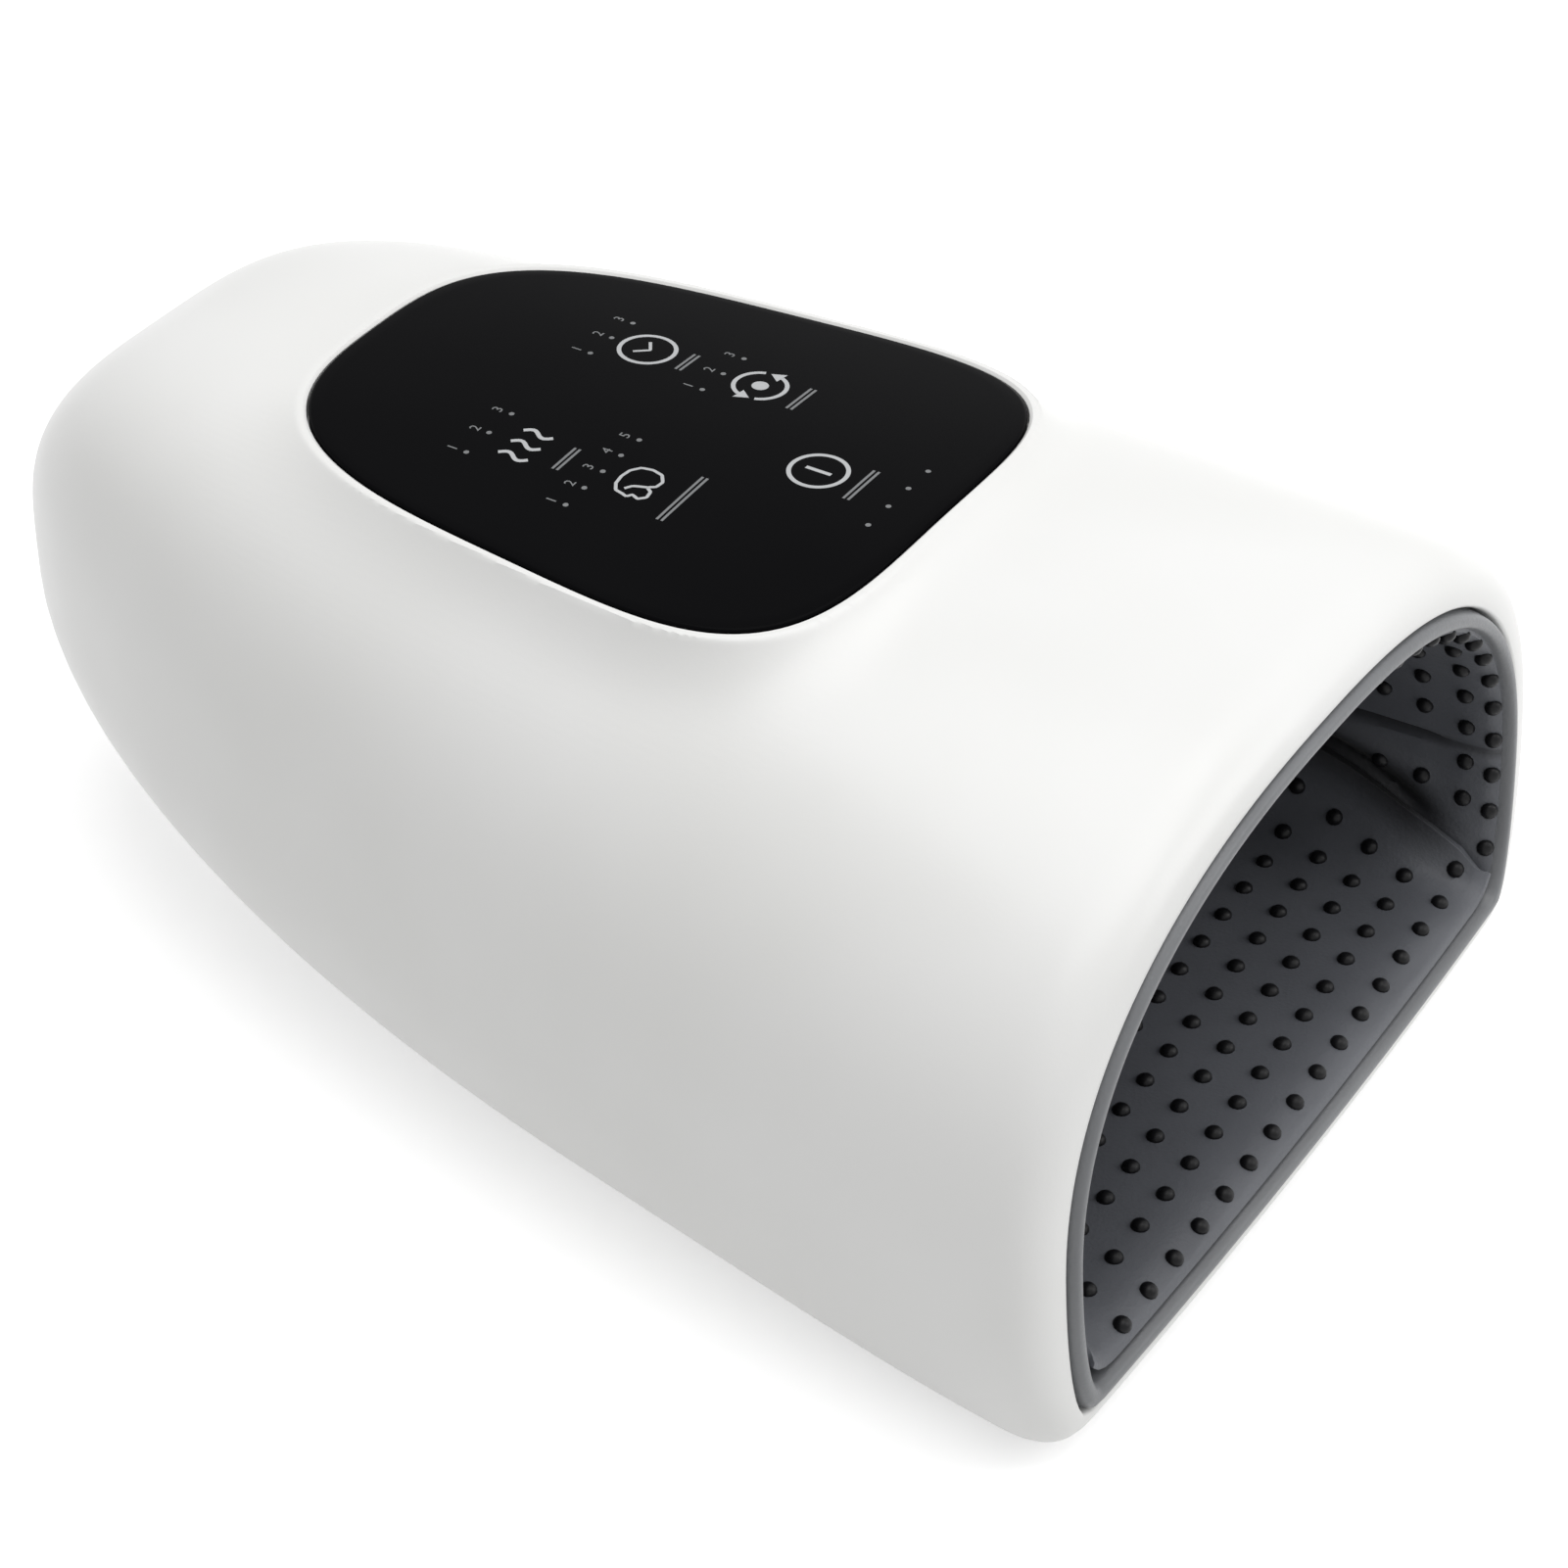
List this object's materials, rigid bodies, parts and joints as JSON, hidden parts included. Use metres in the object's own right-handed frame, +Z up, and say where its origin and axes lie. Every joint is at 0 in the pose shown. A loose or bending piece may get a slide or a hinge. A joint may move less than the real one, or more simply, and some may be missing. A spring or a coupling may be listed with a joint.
{
  "type": "hand massager",
  "caption": "Slipper-shaped hand massager: white casing, rolled lip round the hand opening, nubbed padded lining, air bags, pump and a black touch panel.",
  "frame": {"origin": "centre of the whole object in plan, on the plane that its feet stand on", "axes": "+Z up, -Y out of the hand opening, +Y towards the closed finger end, +X to the side of the charging inlet"},
  "size_m": [0.1592, 0.2248, 0.0944],
  "materials": {
    "white_casing": "gloss moulded white",
    "black_panel": "polished black",
    "grey_lining": "dark grey synthetic leather with gloss black nubs",
    "grey_welt": "smooth grey synthetic leather",
    "air_bladder": "thin dark film",
    "heating_film": "matte film",
    "inner_plastic": "matte moulded black",
    "rubber": "matte rubber",
    "steel": "zinc plated",
    "motor_steel": "drawn steel can",
    "cell_wrap": "blue shrink wrap",
    "circuit_board": "green solder mask",
    "light_guide": "milky diffuser",
    "adhesive_frame": "foam tape"
  },
  "bodies": {
    "casing": {"upper_shell": "white_casing", "touch_panel": "black_panel", "panel_gasket": "adhesive_frame", "light_guide": "light_guide", "touch_board": "circuit_board", "tunnel_frame": "inner_plastic", "liner_wall": "grey_lining", "liner_welt": "grey_welt", "floor_airbag": "air_bladder", "roof_airbag": "air_bladder", "base_cover": "white_casing", "main_board": "circuit_board", "battery_tray": "inner_plastic", "battery_cell_front": "cell_wrap", "battery_cell_rear": "cell_wrap", "pump_motor": "motor_steel", "pump_head": "inner_plastic", "valve_body": "motor_steel", "valve_spring": "steel", "rear_bracket": "inner_plastic", "charge_socket": "steel", "base_screw_1": "steel", "base_screw_2": "steel", "base_screw_3": "steel", "base_screw_4": "steel", "base_screw_5": "steel", "base_screw_6": "steel", "board_screw_1": "steel", "foot_1": "rubber", "board_screw_2": "steel", "foot_2": "rubber", "board_screw_3": "steel", "foot_3": "rubber", "board_screw_4": "steel", "foot_4": "rubber"},
    "rotor": {"pump_rotor": "steel"},
    "plunger": {"valve_plunger": "steel"},
    "roof_cushion": {"roof_pad": "grey_lining"},
    "floor_cushion": {"liner_floor": "grey_lining", "heating_film": "heating_film"}
  },
  "joints": [
    {"name": "rotor_spin", "type": "hinge", "parent": "casing", "child": "rotor", "pos_m": [0, 0.07785, 0.0397], "axis": [1, 0, 0], "continuous": true},
    {"name": "plunger_slide", "type": "slide", "parent": "casing", "child": "plunger", "axis": [-1, 0, 0], "range_m": [0, 0.0015], "stiffness_N_per_m": 60, "springref_m": -0.003, "deforming": ["valve_spring"]},
    {"name": "roof_press", "type": "slide", "parent": "casing", "child": "roof_cushion", "axis": [0, 0, -1], "range_m": [0, 0.01], "stiffness_N_per_m": 400, "springref_m": -0.003, "deforming": ["roof_airbag"]},
    {"name": "floor_press", "type": "slide", "parent": "casing", "child": "floor_cushion", "axis": [0, 0, 1], "range_m": [0, 0.004], "deforming": ["floor_airbag"]}
  ],
  "couplings": [
    {"joint": "floor_press", "follows": "roof_press", "ratio": 0.4}
  ]
}
